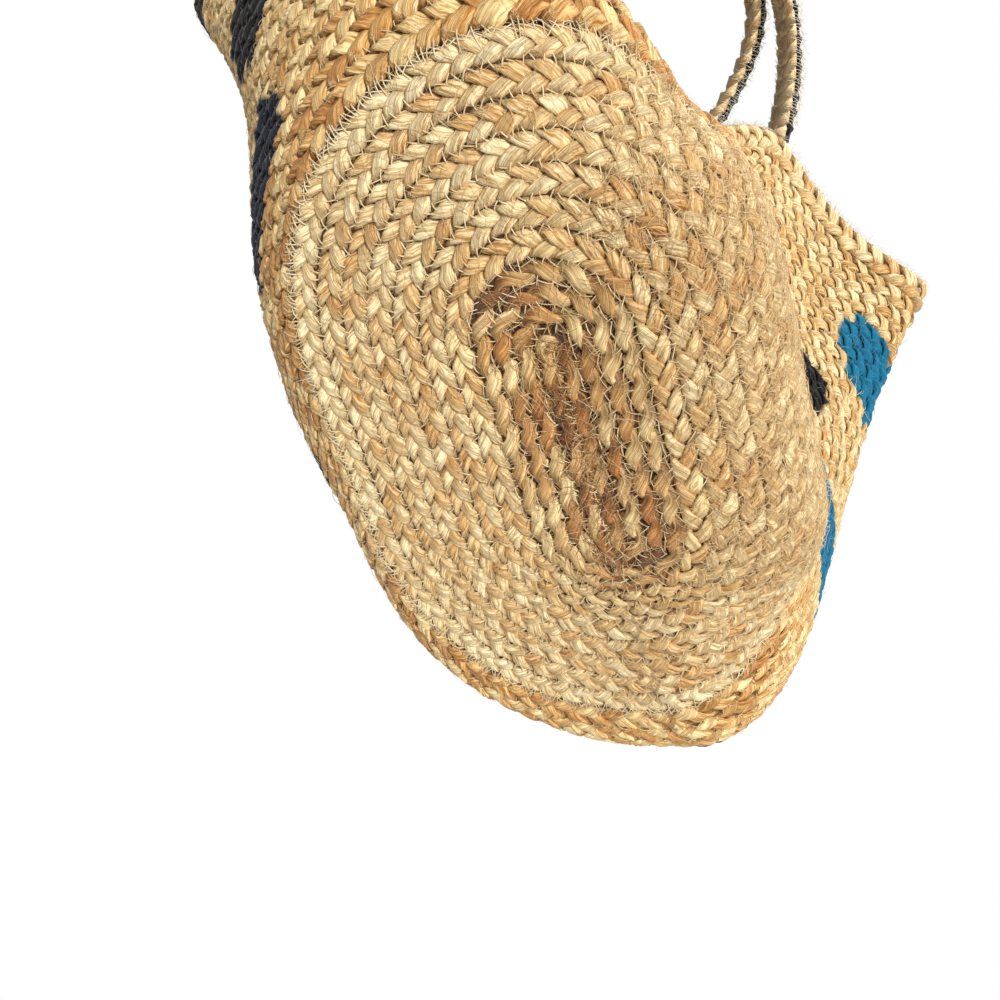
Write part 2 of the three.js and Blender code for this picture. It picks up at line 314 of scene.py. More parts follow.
def normals_of(grid):
    """Outward normals of a grid: first axis round the bag, second along its cloth."""
    around = np.roll(grid, -1, 0) - np.roll(grid, 1, 0)
    return unit(np.cross(around, np.gradient(grid, axis=1)))


shares = np.arange(AROUND) / AROUND
core, angle = ring_places(shares)
BASE_REACH = np.linspace(0.5, BASE_RADIUS, 121)
base_grid = np.stack([base_points(core, angle, reach)[0] for reach in BASE_REACH], 1)
inmost = np.clip(1 - BASE_REACH / CORE_ZONE, 0, 1)
base_grid[..., 0] += np.outer(core, CORE_STRETCH * inmost) + CORE_SHIFT * inmost
BASE = (base_grid, normals_of(base_grid), BASE_REACH)
print("base grid", base_grid.shape[:2], "rises to", base_grid[..., 2].max().round(), "mm at its front")

# %% [markdown]
# The mouth is a long loop, turned against the base and skewed at both ends. It peaks at
# the four strap roots and sags between them. Each wall line is a curve from the sewn edge
# to the mouth, cut where the rim braid begins.
# %% The mouth and the walls as a grid
MOUTH = dict(turn=math.radians(-24), half_length=234, half_gap=55, widen=0.5, along=-112, across=-10,
             far_skew=69, near_skew=190, height=320, peak=12, spread=0.2, sag=85, ramp=0.75)
FRONT_ROOT, BACK_ROOT = 0.44, 0.36


def mouth_points(phase, heading):
    m = MOUTH
    along, near = np.cos(phase), np.maximum(-np.cos(phase), 0)
    u = m["along"] + m["half_length"] * along
    v = m["across"] + m["half_gap"] * (1 + m["widen"] * near) * np.sin(phase)
    v = v - m["far_skew"] * np.maximum(along, 0) ** 4 + m["near_skew"] * near ** 2
    root = np.where(np.sin(phase) < 0, FRONT_ROOT, BACK_ROOT)
    height = m["height"] + m["peak"] * np.exp(-((np.abs(along) - root) / m["spread"]) ** 2)
    cos, sin = math.cos(m["turn"]), math.sin(m["turn"])
    sag = m["sag"] * smooth((root - np.abs(along)) / (root * m["ramp"]))
    return np.stack([u * cos - v * sin, u * sin + v * cos, height], -1) - sag[..., None] * heading


def sampled(wanted, at, values):
    """Columns of values, read at wanted places between the known ones."""
    return np.stack([np.interp(wanted, at, values[:, k]) for k in range(values.shape[1])], -1)


edge, edge_slope = base_points(core, angle, BASE_RADIUS)
outward = np.stack([np.cos(angle), np.sin(angle), 0 * angle], -1)
start_angle = np.maximum(np.radians(at_angle(START_ANGLES, angle)), edge_slope)
leave = outward * np.cos(start_angle)[:, None] + np.outer(np.sin(start_angle), [0, 0, 1])
leave = leave * at_angle(START_PULLS, angle)[:, None]
heading = unit(at_angle(HEADINGS, angle))
rim = mouth_points(shares * 2 * math.pi, heading)
arrive = heading * at_angle(RIM_PULLS, angle)[:, None]
s = np.linspace(0, 1, 161)[None, :, None]
lines = edge[:, None] * (2 * s**3 - 3 * s**2 + 1) + leave[:, None] * (s**3 - 2 * s**2 + s)
lines = lines + rim[:, None] * (3 * s**2 - 2 * s**3) + arrive[:, None] * (s**3 - s**2)
runs = np.cumsum(np.linalg.norm(np.diff(lines, axis=1, prepend=lines[:, :1]), axis=-1), 1)
rim_run = unit(np.roll(rim, -1, 0) - np.roll(rim, 1, 0))
rim_through = unit(np.cross(rim_run, heading))
rim_wide = unit(np.cross(rim_through, rim_run))
top_run = runs[:, -1] - (RIM_WIDTH / 2 + RIM_GAP) / np.abs((rim_wide * heading).sum(-1))

WALL_REACH = np.linspace(0, 1, 241)
wanted = WALL_START + np.outer(top_run - WALL_START, WALL_REACH)
wall_grid = np.stack([sampled(wanted[i], runs[i], lines[i]) for i in range(AROUND)])
WALL = (wall_grid, normals_of(wall_grid), WALL_REACH)
print("wall lines run", runs[:, -1].min().round(), "to", runs[:, -1].max().round(), "mm")

# %% [markdown]
# The strands are dyed before they are braided, so colour stops at the strand and not at
# a drawn line. Plain rounded bars in a half-drop repeat stand here. Each is a distance to
# a short line, which gives a mask that the strands carry as an attribute.
# %% Dyed bars
DYES = {"blue": linear(24, 122, 158), "black": linear(13, 13, 15), "navy": linear(18, 23, 40),
        "teal": linear(34, 96, 114)}
WALL_LENGTH, BARS_AROUND, BAR_OFFSET = 1074, 6, 52
BAR_ROW, BAR_ROWS, BAR_HALF, BAR_RADIUS, BAR_START = 74.0, 4, 26.0, 23.0, 22.0


def dye_at(share, height):
    """Colour of the dye, with 1 or 0 as its alpha, at a share round the bag and a height."""
    repeat, height = WALL_LENGTH / BARS_AROUND, height - BAR_START
    row = np.floor(height / BAR_ROW).astype(int)
    across = share * WALL_LENGTH + (row % 2) * repeat / 2 + BAR_OFFSET
    column = np.floor(across / repeat).astype(int)
    dx = np.abs(across - (column + 0.5) * repeat)
    dy = height - (row + 0.5) * BAR_ROW
    inside = (np.hypot(np.maximum(dx - BAR_HALF, 0), dy) < BAR_RADIUS) & (row >= 0) & (row < BAR_ROWS)
    colours = np.array(list(DYES.values()))[(column + 2 * row) % len(DYES)]
    return np.concatenate([colours[..., :3], inside[..., None].astype(float)], -1)


sample = dye_at(*np.meshgrid(shares, np.arange(320), indexing="ij"))
print("dyed share of the wall", round(float(sample[..., 3].mean()), 2))

# %% [markdown]
# A row is a closed path through the cloth, resampled so that a whole number of braid
# periods fits and each strand meets its own start. Its points carry the cloth's normal,
# the way across, the braid's phase, the browning and the dye. A slow sway, drawn anew
# for each row, keeps the rows from lying dead parallel.
# %% Rows as guide paths
PERIOD_SHARE, SWAY = 2.9, 0.35


def closed_row(points, normals, width, steps, period=PERIOD_SHARE, size=None, tone=0.0, dye=None, seed=0):
    """One row resampled by length, as a dictionary of arrays."""
    at = np.cumsum(np.linalg.norm(np.roll(points, -1, 0) - points, axis=-1))
    at = np.concatenate([[0], at])
    periods = max(round(at[-1] / (period * width)), 3)
    count = periods * steps
    wanted = np.arange(count) / count * at[-1]

    def along_row(values):
        return sampled(wanted, at, np.concatenate([values, values[:1]]))

    place, normal = along_row(points), unit(along_row(normals))
    run = unit(np.roll(place, -1, 0) - np.roll(place, 1, 0))
    side = unit(np.cross(run, normal))
    normal = unit(np.cross(side, run))
    wave = np.random.default_rng(seed).uniform(0, 2 * math.pi, 4)
    turn = 2 * math.pi * np.arange(count) / steps
    sway = sum(np.sin(turn / periods * k + wave[k % 4]) for k in (3, 7, 11)) / 3
    size = np.ones(count) if size is None else along_row(size[:, None])[:, 0]
    colour = np.zeros((count, 4)) if dye is None else along_row(dye)
    colour[:, 3] = (colour[:, 3] > 0.5).astype(float)
    tone = along_row(np.broadcast_to(tone, len(points))[:, None])[:, 0]
    return dict(place=place + side * (SWAY * sway)[:, None], normal=normal, side=side, turn=turn + wave[0],
                size=size, tone=tone, row=np.full(count, float(seed)), dye=colour, closed=True)


def between(cloth, at):
    """Points and normals of a cloth grid at one reach along it."""
    grid, normals, reach = cloth
    place = np.interp(at, reach, np.arange(len(reach)))
    low = min(int(place), len(reach) - 2)
    part = place - low
    points, out = (values[:, low] * (1 - part) + values[:, low + 1] * part for values in (grid, normals))
    return points, unit(out)


def guide_mesh(name, rows):
    """A mesh of edges only, with each row's values as attributes, placed in metres."""
    places = np.concatenate([row["place"] for row in rows])
    edges, first = [], 0
    for row in rows:
        count = len(row["place"])
        last = count if row["closed"] else count - 1
        edges += [(first + k, first + (k + 1) % count) for k in range(last)]
        first += count
    mesh = bpy.data.meshes.new(name)
    mesh.from_pydata(((places + SHIFT) * MM).tolist(), edges, [])
    kinds = {1: ("FLOAT", "value"), 3: ("FLOAT_VECTOR", "vector"), 4: ("FLOAT_COLOR", "color")}
    for key in ("normal", "side", "turn", "size", "tone", "row", "dye"):
        values = np.concatenate([row[key] for row in rows])
        kind, field = kinds[values.size // len(places)]
        layer = mesh.attributes.new("cloth_normal" if key == "normal" else key, kind, "POINT")
        layer.data.foreach_set(field, values.astype(np.float32).ravel())
    return placed(name, mesh)


one_row = closed_row(*between(BASE, 90.0), 12.0, 24)
print("a base row has", len(one_row["place"]), "points")

# %% [markdown]
# Jute is a pale, slightly silky fibre. Each visible leaf of the braid has a tone of its
# own, from cream to orange, streaked along the fibres. The strands carry their length,
# the way round them and a number for each leaf, so streaks follow the fibre wherever the
# braid turns. Old rows take a browner ramp, and so do the wall's first rows, partly as
# painted shade below the ridge. The streaks carry painted shade in their furrows and a
# painted highlight on their crests; a strand gets painted shade where it lies under the
# others, deeper on the brown rows, and a little painted light on top. Bump from the
# streaks gives the fine furrows.
# %% Jute
CREAM, STRAW, GOLD = linear(248, 228, 180), linear(234, 202, 144), linear(218, 168, 98)
RUST, UMBER, BARK = linear(186, 122, 64), linear(78, 45, 20), linear(156, 95, 43)
AMBER, OCHRE, FADED = linear(194, 121, 55), linear(224, 168, 94), linear(255, 226, 164)
NATURAL = [(0.06, RUST), (0.26, GOLD), (0.48, STRAW), (0.74, CREAM)]
PALE = [(0.05, GOLD), (0.32, STRAW), (0.6, CREAM), (0.9, CREAM)]
# browns for the brown rows, also used as painted shade on the wall's first rows
BROWN_AND_SHADE_STOPS = [(0.14, UMBER), (0.28, BARK), (0.40, AMBER), (0.54, OCHRE), (0.76, FADED)]
GROOVE_DEPTH = 0.0006


def attribute(nodes, name, out="Fac"):
    return nodes.add("ShaderNodeAttribute", out=out, attribute_name=name)


def noise(nodes, vector, scale, detail=3.0, roughness=0.6):
    sockets = {"Vector": vector, "Scale": scale, "Detail": detail, "Roughness": roughness}
    return nodes.add("ShaderNodeTexNoise", sockets)


def on_object(nodes):
    return nodes.add("ShaderNodeTexCoord", out="Object")


def finish_material(material, nodes, colour, roughness, height, depth, sheen=0.0, specular=0.45):
    bump = nodes.add("ShaderNodeBump", {"Strength": 1.0, "Distance": depth, "Height": height})
    sockets = {"Base Color": colour, "Roughness": roughness, "Normal": bump,
               "Specular IOR Level": specular, "Sheen Weight": sheen, "Sheen Roughness": 0.5}
    shader = nodes.add("ShaderNodeBsdfPrincipled", sockets)
    nodes.add("ShaderNodeOutputMaterial", {"Surface": shader})
    return material


def jute(name, stops, dyed=None, specular=0.4):
    """Braided jute: a tone for each leaf, streaks along the fibre, browning and dye."""
    material, nodes = new_material(name)
    along, around, leaf = (attribute(nodes, key) for key in ("along", "around", "leaf"))
    own = nodes.add("ShaderNodeTexWhiteNoise", {"W": leaf}, noise_dimensions="1D")
    splay = noise(nodes, nodes.xyz(along * 0.12, around * 2.5, leaf * 5.1), 1.0, detail=2.0)
    around = around + (splay - 0.5) * 0.24
    streak = noise(nodes, nodes.xyz(along * 0.06, around * 10.0, leaf * 3.7), 1.0, 4.0, 0.68)
    fine = noise(nodes, nodes.xyz(along * 0.16, around * 27.0, leaf * 1.3), 1.0)
    patch = noise(nodes, on_object(nodes), 14.0, detail=2.0)
    fresh = nodes.ramp(own * 0.46 + streak * 1.25 + fine * 0.50 + patch * 0.30 - 0.78, stops)
    tone = attribute(nodes, "tone")
    brown = nodes.ramp(own * 0.62 + streak * 1.0 - tone * 0.42 + 0.02, BROWN_AND_SHADE_STOPS)
    # share of the brown ramp: the brown rows' own colour, and on the wall's first rows partly painted shade
    brown_and_shade = nodes.ranged(tone + (streak - 0.5) * 0.5 + (own - 0.5) * 0.4, 0.35, 0.65)
    colour = nodes.mixed(brown_and_shade, fresh, brown)
    # painted shade in the streaks' furrows and a painted highlight on their crests, from the bump's noise
    shade_and_highlight = nodes.ranged(fine * 0.6 + streak * 0.4, 0.34, 0.60, 0.46, 1.14)
    # painted shade where a strand lies under the others, deeper on the brown rows, and a little painted light
    # on its top
    top = attribute(nodes, "top") + (streak - 0.5) * 0.9
    shade_and_highlight = shade_and_highlight * nodes.ranged(top, -0.9, 0.5, 0.40 - brown_and_shade * 0.28, 1.08)
    # the painted shade turns warmer and browner as it deepens
    shade = nodes.xyz(shade_and_highlight, shade_and_highlight.math("POWER", 1.18), shade_and_highlight.math("POWER", 1.5))
    colour = nodes.mixed(1.0, colour, shade, "MULTIPLY")
    if dyed is None:
        dye_colour, mask = attribute(nodes, "dye", "Color"), attribute(nodes, "dye", "Alpha")
        taken = nodes.ranged(streak + fine * 0.5, 0.50, 0.56) * mask
    else:
        dye_colour, mask, taken = dyed, 1.0, nodes.ranged(streak, 0.2, 0.3)
    lift = nodes.ranged(fine, 0.3, 0.75, 0.60, 1.25)
    dye_colour = nodes.mixed(1.0, dye_colour, nodes.xyz(lift, lift, lift), "MULTIPLY")
    colour = nodes.mixed(taken.math("MAXIMUM", mask * 0.93), colour, dye_colour)
    roughness = nodes.ranged(streak, 0.3, 0.7, 0.42, 0.68)
    height = streak * 0.8 + fine * 0.6
    return finish_material(material, nodes, colour, roughness, height, GROOVE_DEPTH, specular * 0.3, specular)


jute_braid = jute("jute_braid", NATURAL)
jute_edge = jute("jute_edge", PALE)
jute_wall = jute("jute_wall", NATURAL, specular=0.14)
jute_black = jute("jute_black", NATURAL, dyed=linear(16, 16, 18), specular=0.12)
print("jute has", len(jute_braid.node_tree.nodes), "nodes")

# %% [markdown]
# Thread and loose fibre are too thin for streaks: a tone for each and a fine twist are
# enough, and over a dyed bar they take its dye. The sheet inside the cloth, which shows
# between the rows, is dark brown with grain: painted shade for the gaps.
# %% Thread, loose fibre and the painted shade between the rows
def thread_material(name, light, dark):
    material, nodes = new_material(name)
    twist = noise(nodes, on_object(nodes), 900.0, detail=2.0)
    colour = nodes.mixed(attribute(nodes, "leaf") * 0.7 + twist * 0.3, dark, light)
    soaked = nodes.ranged(attribute(nodes, "dye", "Alpha"), 0.4, 0.6, 0.0, 0.9)
    colour = nodes.mixed(soaked, colour, attribute(nodes, "dye", "Color"))
    return finish_material(material, nodes, colour, nodes.ranged(twist, 0.3, 0.7, 0.45, 0.7), twist, 0.0001)


def gap_shade_material():
    material, nodes = new_material("joint_shadow")
    grain = noise(nodes, on_object(nodes), 600.0, detail=4.0)
    colour = nodes.mixed(grain, linear(42, 27, 14), linear(104, 70, 38))
    return finish_material(material, nodes, colour, nodes.ranged(grain, 0.2, 0.8, 0.8, 0.95), grain, 0.0004)


sewing_thread = thread_material("sewing_thread", linear(255, 240, 202), linear(226, 196, 138))
loose_fibre = thread_material("loose_fibre", linear(246, 224, 176), linear(204, 160, 98))
brown_fibre = thread_material("brown_fibre", linear(206, 156, 94), linear(128, 80, 38))
white_thread = thread_material("white_thread", linear(252, 246, 226), linear(228, 212, 176))
joint_shadow = gap_shade_material()
print("materials", sorted(m.name for m in bpy.data.materials))

# %% [markdown]
# Geometry Nodes can follow any path, so one tree makes every braid, one every stitch and
# one every loose fibre. All start with named inputs and end in real faces, smooth shading
# and a material.
# %% How every tree starts and ends
LENGTHS = ("Reach", "Lift", "Strand width", "Strand thickness", "Lumps", "Spacing", "Length", "Thread",
           "Height", "Arch")


def new_tree(name, *sizes, number="Seed"):
    tree = bpy.data.node_groups.new(name, "GeometryNodeTree")
    sockets = dict(Geometry="Geometry", **{size: "Float" for size in sizes}, Material="Material")
    for label, kind in {**sockets, number: "Int"}.items():
        tree.interface.new_socket(name=label, in_out="INPUT", socket_type="NodeSocket" + kind)
    tree.interface.new_socket(name="Geometry", in_out="OUTPUT", socket_type="NodeSocketGeometry")
    nodes = Nodes(tree)
    return nodes, nodes.add("NodeGroupInput")


def named(nodes, key, kind="FLOAT"):
    return nodes.add("GeometryNodeInputNamedAttribute", {"Name": key}, data_type=kind)


def stored(nodes, geometry, key, value, domain="POINT"):
    sockets = {"Geometry": geometry, "Name": key, "Value": value}
    return nodes.add("GeometryNodeStoreNamedAttribute", sockets, data_type="FLOAT", domain=domain)


def moved(nodes, geometry, offset):
    return nodes.add("GeometryNodeSetPosition", {"Geometry": geometry, "Offset": offset})


def close_tree(nodes, geometry, given):
    real = nodes.add("GeometryNodeRealizeInstances", {"Geometry": geometry})
    soft = nodes.add("GeometryNodeSetShadeSmooth", {"Geometry": real})
    made = nodes.add("GeometryNodeSetMaterial", {"Geometry": soft, "Material": given["Material"]})
    nodes.add("NodeGroupOutput", {"Geometry": made})
    print(nodes.tree.name, "tree has", len(nodes.tree.nodes), "nodes")
    return nodes.tree


def made_by(tree, guide, name, **sizes):
    """Runs a tree on a guide, with lengths in mm, and keeps the result as a plain mesh."""
    modifier = guide.modifiers.new("rule", "NODES")
    modifier.node_group = tree
    sizes = {key.replace("_", " ").capitalize(): value for key, value in sizes.items()}
    for item in tree.interface.items_tree:
        if item.in_out == "INPUT" and item.name in sizes:
            value = sizes[item.name]
            modifier[item.identifier] = value * MM if item.name in LENGTHS else value
    bpy.context.view_layer.update()
    graph = bpy.context.evaluated_depsgraph_get()
    result = guide.evaluated_get(graph)
    mesh = bpy.data.meshes.new_from_object(result, preserve_all_data_layers=True, depsgraph=graph)
    guide.modifiers.remove(modifier)
    bpy.data.objects.remove(guide)
    mesh.name = name
    print(name, sum(len(face.vertices) - 2 for face in mesh.polygons), "triangles")
    return placed(name, mesh)


# %% [markdown]
# In a flat braid of three, each strand comes over from one edge to the middle, dives
# under, and comes over again from the other edge. Across the row that is a sine of the
# braid's phase, and through it a sine of twice the phase; the strands are a third of a
# period apart. A strand is a flat bundle that rolls over the row's edge, so its section
# turns with the phase. For the material it stores its length, how far it lies on top and
# its leaf's number. A leaf runs from edge to edge, or on edge from crossing to crossing.
# %% A tree that braids
LEAVES_A_ROW, LEAVES_A_STRAND, STRAND_SHIFT = 97.0, 31.7, 170
LIFT, STRAND_THICK, LUMPS = 0.235, 0.45, 0.9


def strand_profile(nodes, given):
    """The flat bundle's section, which also stores the way round it."""
    circle = nodes.add("GeometryNodeCurvePrimitiveCircle", {"Resolution": given["Sides"], "Radius": 1.0})
    circle = stored(nodes, circle, "around", nodes.add("GeometryNodeSplineParameter", out="Factor"))
    size = nodes.xyz(given["Strand thickness"] / 2, given["Strand width"] / 2, 1.0)
    return nodes.add("GeometryNodeTransform", {"Geometry": circle, "Scale": size})


def braid_tree():
    nodes, given = new_tree("braid_of_three", "Reach", "Lift", "Strand width", "Strand thickness", "Roll",
                            "Squeeze", "Period", "Uneven", "Lumps", "On edge", number="Sides")
    profile = strand_profile(nodes, given)
    curve = nodes.add("GeometryNodeMeshToCurve", {"Mesh": given})
    turn, row, wide = (named(nodes, key) for key in ("turn", "row", "size"))
    normal, side = (named(nodes, key, "FLOAT_VECTOR") for key in ("cloth_normal", "side"))
    place = nodes.add("GeometryNodeInputPosition")
    flat = given["On edge"].math("LESS_THAN", 0.01)
    joined = nodes.add("GeometryNodeJoinGeometry")
    for strand in range(3):
        phase = turn + strand * 2 * math.pi / 3
        sine, double = phase.math("SINE"), (phase * 2).math("SINE")
        drift = nodes.vector("ADD", place, (strand * 0.37, strand * 0.71, 0.0))
        uneven = (noise(nodes, drift, 90.0, detail=1.0) - 0.5) * 2 * given["Uneven"]
        across = sine * given["Reach"] * (1 + uneven * 0.5) * wide
        through = double * given["Lift"] * (-1 - uneven * 0.8)
        offset = nodes.vector("ADD", nodes.scaled(side, across), nodes.scaled(normal, through))
        swing = phase.math("COSINE") * given["Roll"]
        roll = (swing.math("MAXIMUM", -1.0).math("MINIMUM", 1.0) + 1) * (math.pi / 2)
        rolled = roll.math("SINE")
        facing = nodes.vector("ADD", nodes.scaled(normal, roll.math("COSINE")), nodes.scaled(side, rolled))
        sockets = {"Curve": moved(nodes, curve, offset), "Normal": facing}
        turned = nodes.add("GeometryNodeSetCurveNormal", sockets, mode="FREE")
        leaf = ((phase - flat * (math.pi / 2)) / math.pi).math("FLOOR")
        kept = stored(nodes, turned, "leaf", leaf + row * LEAVES_A_ROW + strand * LEAVES_A_STRAND)
        along = turn * given["Period"] / (2 * math.pi) + strand * STRAND_SHIFT
        kept = stored(nodes, kept, "along", along)
        # how far the strand lies on top, which the jute material turns into painted shade under the crossings
        kept = stored(nodes, kept, "top", double * (given["On edge"] - 1) + sine * given["On edge"])
        size = (1 + uneven) * (1 - rolled * given["Squeeze"]) * wide
        sockets = {"Curve": kept, "Profile Curve": profile, "Scale": size, "Fill Caps": True}
        tube = nodes.add("GeometryNodeCurveToMesh", sockets)
        nodes.tree.links.new(tube.socket, joined.socket.node.inputs[0])
    lump = noise(nodes, nodes.add("GeometryNodeInputPosition"), 330.0, detail=2.0) - 0.5
    lumpy = nodes.scaled(nodes.add("GeometryNodeInputNormal"), lump * given["Lumps"] * 2)
    return close_tree(nodes, moved(nodes, joined, lumpy), given)


BRAID = braid_tree()


def braid(name, nodes, rows, width, thick, material, body="bag", sides=8, roll=1.2,
          squeeze=0.0, reach=0.345, wide=0.58, uneven=0.34, edge=0.0):
    """Braids guide rows of one width and thickness in mm into a piece of a body."""
    piece = made_by(BRAID, guide_mesh(name + "_guide", rows), name, material=material,
                    reach=reach * width, lift=LIFT * thick, strand_width=wide * width,
                    strand_thickness=STRAND_THICK * thick, period=PERIOD_SHARE * width, lumps=LUMPS,
                    roll=roll, squeeze=squeeze, uneven=uneven, on_edge=edge, sides=sides)
    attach(piece, body)
    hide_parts(*nodes)


# %% [markdown]
# The base is sewn round a straight core. Its first rows are old, frayed and brown, and
# their braid stands on edge, so each shows one line of slanting leaves, like a rope. The
# outermost row is a sewn ridge where the wall begins. One spiral would be truer, but a
# closed row for each turn is a simpler rule and looks the same.
# %% Rows of the base
ROW_PITCH, CORE_PITCH, CORE_WIDTH, CORE_PERIOD = 12.0, 9.0, 6.8, 4.7
CORE_ROWS = [4.5, 13.5, 22.5, 31.5]
BASE_ROWS = [42.0 + ROW_PITCH * k for k in range(6)]
STEPS = 24
BROWNING = [4, 14, 23, 32, 42, 54, 66], [0.90, 0.82, 0.74, 0.60, 0.42, 0.26, 0.14]
BROWNER_ENDS = [4, 14, 34, 42, 54], [0, 0.22, 0.34, 0.14, 0]
BROWNER_FRONT = [60, 80], [0, 0.12]
END_SHARE = 0.41


def spacing(cloth, low, high, width):
    """Local distance across a row, as a share of the braid's nominal width."""
    across = np.linalg.norm(between(cloth, high)[0] - between(cloth, low)[0], axis=-1)
    return np.clip(across / width, 0.6, 1.5)


def base_row(reach, width, k, period=PERIOD_SHARE):
    size = spacing(BASE, reach - width / 2, reach + width / 2, width)
    tone = np.interp(reach, *BROWNING)
    tone = tone + np.interp(reach, *BROWNER_ENDS) * np.cos(4 * math.pi * (shares - END_SHARE))
    tone = tone + np.interp(reach, *BROWNER_FRONT) * np.clip(-np.sin(angle), 0, 1)
    return closed_row(*between(BASE, reach), width, STEPS, period, size=size, tone=tone, seed=k + 1)


def on_edge(row):
    """The same row with its braid standing on edge."""
    return dict(row, normal=row["side"], side=row["normal"])


rows = [on_edge(base_row(reach, CORE_PITCH, k, CORE_PERIOD)) for k, reach in enumerate(CORE_ROWS)]
braid("base_core_rows", ["base_core"], rows, CORE_WIDTH, CORE_PITCH, jute_braid,
      roll=0.55, reach=0.34, wide=0.98, uneven=0.40, edge=0.35)
rows = [base_row(reach, ROW_PITCH, len(CORE_ROWS) + k) for k, reach in enumerate(BASE_ROWS)]
braid("base_inner_rows", ["base_coil"], rows[:3], ROW_PITCH, CLOTH, jute_braid)
braid("base_outer_rows", ["base_coil"], rows[3:], ROW_PITCH, CLOTH, jute_braid)
edge_row = closed_row(*between(BASE, BASE_RADIUS - EDGE_ROW / 2), EDGE_ROW, STEPS, seed=11)
braid("base_edge_braid", ["base_edge_row"], [edge_row], EDGE_ROW, CLOTH, jute_edge)

# %% [markdown]
# The wall is the same braid, a little wider and browner near the base. Its rows share out
# each wall line, so they spread where the cloth bellies and close up at the mouth. Six
# pieces keep each small enough to be saved whole.
# %% Rows of the walls
WALL_ROWS = 26
# The first wall rows start browner and fade upward: partly the jute's own brown, partly painted shade below
# the base's ridge.
FOOT_TONE_AND_SHADE, TONE_STEP, TOP_TONE = 0.68, 0.045, 0.25
wall_height = float((top_run - WALL_START).mean())
wall_pitch = wall_height / WALL_ROWS


def wall_dye(share):
    return dye_at(shares, np.full(AROUND, share * wall_height))


def wall_row(k):
    share, half = (k + 0.5) / WALL_ROWS, 0.5 / WALL_ROWS
    size = spacing(WALL, share - half, share + half, wall_pitch)
    tone = max(FOOT_TONE_AND_SHADE - TONE_STEP * k, TOP_TONE)
    return closed_row(*between(WALL, share), wall_pitch, STEPS - 4, size=size, tone=tone,
                      dye=wall_dye(share), seed=20 + k)


bands = [("lower", "lower", 0, 4), ("lower_top", "lower", 4, 8), ("middle", "middle", 8, 12),
         ("middle_top", "middle", 12, 16), ("upper", "upper", 16, 21), ("top", "upper", 21, 26)]
for name, node, first, last in bands:
    rows = [wall_row(k) for k in range(first, last)]
    braid(f"wall_{name}_rows", ["wall_" + node], rows, wall_pitch, CLOTH, jute_wall)
print("wall rows", WALL_ROWS, "pitch", round(wall_pitch, 2), "mm")

# %% [markdown]
# The mouth is bound by one wider braid in the wall's own plane, a little below the mouth
# line so that it closes on the last row. Its edge is seen against the light, where only
# real strands give the right outline.
# %% Rim braid
RIM_BRAID, RIM_PERIOD, RIM_DROP = RIM_WIDTH + 2.4, 2.4, 1.2
rim_row = closed_row(rim - rim_wide * RIM_DROP, rim_through, RIM_BRAID, STEPS, RIM_PERIOD, tone=0.2,
                     seed=60)
braid("rim_rows", ["rim_braid"], [rim_row], RIM_BRAID, RIM_THICK, jute_braid, wide=0.5)

# %% [markdown]
# Light must not pass between the strands, so a thin sheet in the middle of the cloth
# stands for the inner fibres. Its dark brown is painted shade, seen in the gaps between
# the rows. Fatter strands would run into each other.
# %% Inner sheet of the cloth
SHEET_HALF = 0.5


def grid_mesh(name, grid, ring=True, tube=False):
    """A mesh over a grid of points in mm: round the bag, then along the cloth."""
    count, wide = grid.shape[:2]
    faces = [(i * wide + j, (i + 1) % count * wide + j, (i + 1) % count * wide + (j + 1) % wide,
              i * wide + (j + 1) % wide)
             for i in range(count if ring else count - 1) for j in range(wide if tube else wide - 1)]
    mesh = bpy.data.meshes.new(name)
    mesh.from_pydata(((grid.reshape(-1, 3) + SHIFT) * MM).tolist(), [], faces)
    return mesh


def inner_sheet(name, grid, normals, reach_steps, around_steps):
    """A closed thin shell in the middle of a cloth grid."""
    step = AROUND // around_steps
    row = np.linspace(0, grid.shape[1] - 1, reach_steps).astype(int)
    middle, out = grid[::step][:, row], normals[::step][:, row] * SHEET_HALF
    mesh = grid_mesh(name, np.concatenate([middle + out, (middle - out)[:, ::-1]], 1), tube=True)
    mesh.shade_smooth()
    mesh.materials.append(joint_shadow)
    sheet = placed(name, mesh)
    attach(sheet, "bag")
    print(name, len(mesh.polygons), "faces")


inner_sheet("base_inner_sheet", *(values[:, 3:116] for values in BASE[:2]), 24, 120)
to_rim = np.concatenate([wall_grid, rim[:, None]], 1)
rim_normals = np.concatenate([WALL[1], WALL[1][:, -1:]], 1)
inner_sheet("wall_inner_sheet", to_rim, rim_normals, 42, 180)

# %% [markdown]
# A hand loop is two braids back to back, natural inside and black outside. The path is
# half an ellipse between two points just above the rim, which leans with its wall and
# drifts along it. Both braids come from one rule, so they keep together.
# %% Hand loops
STRAP_WIDTH, LOOP_HEIGHT, ROOT_LIFT, TAIL = 20.0, 245.0, 16.6, 9.0
NATURAL_THICK, NATURAL_INSET, BLACK_THICK, BLACK_INSET = 9.0, 6.9, 4.4, 0.9


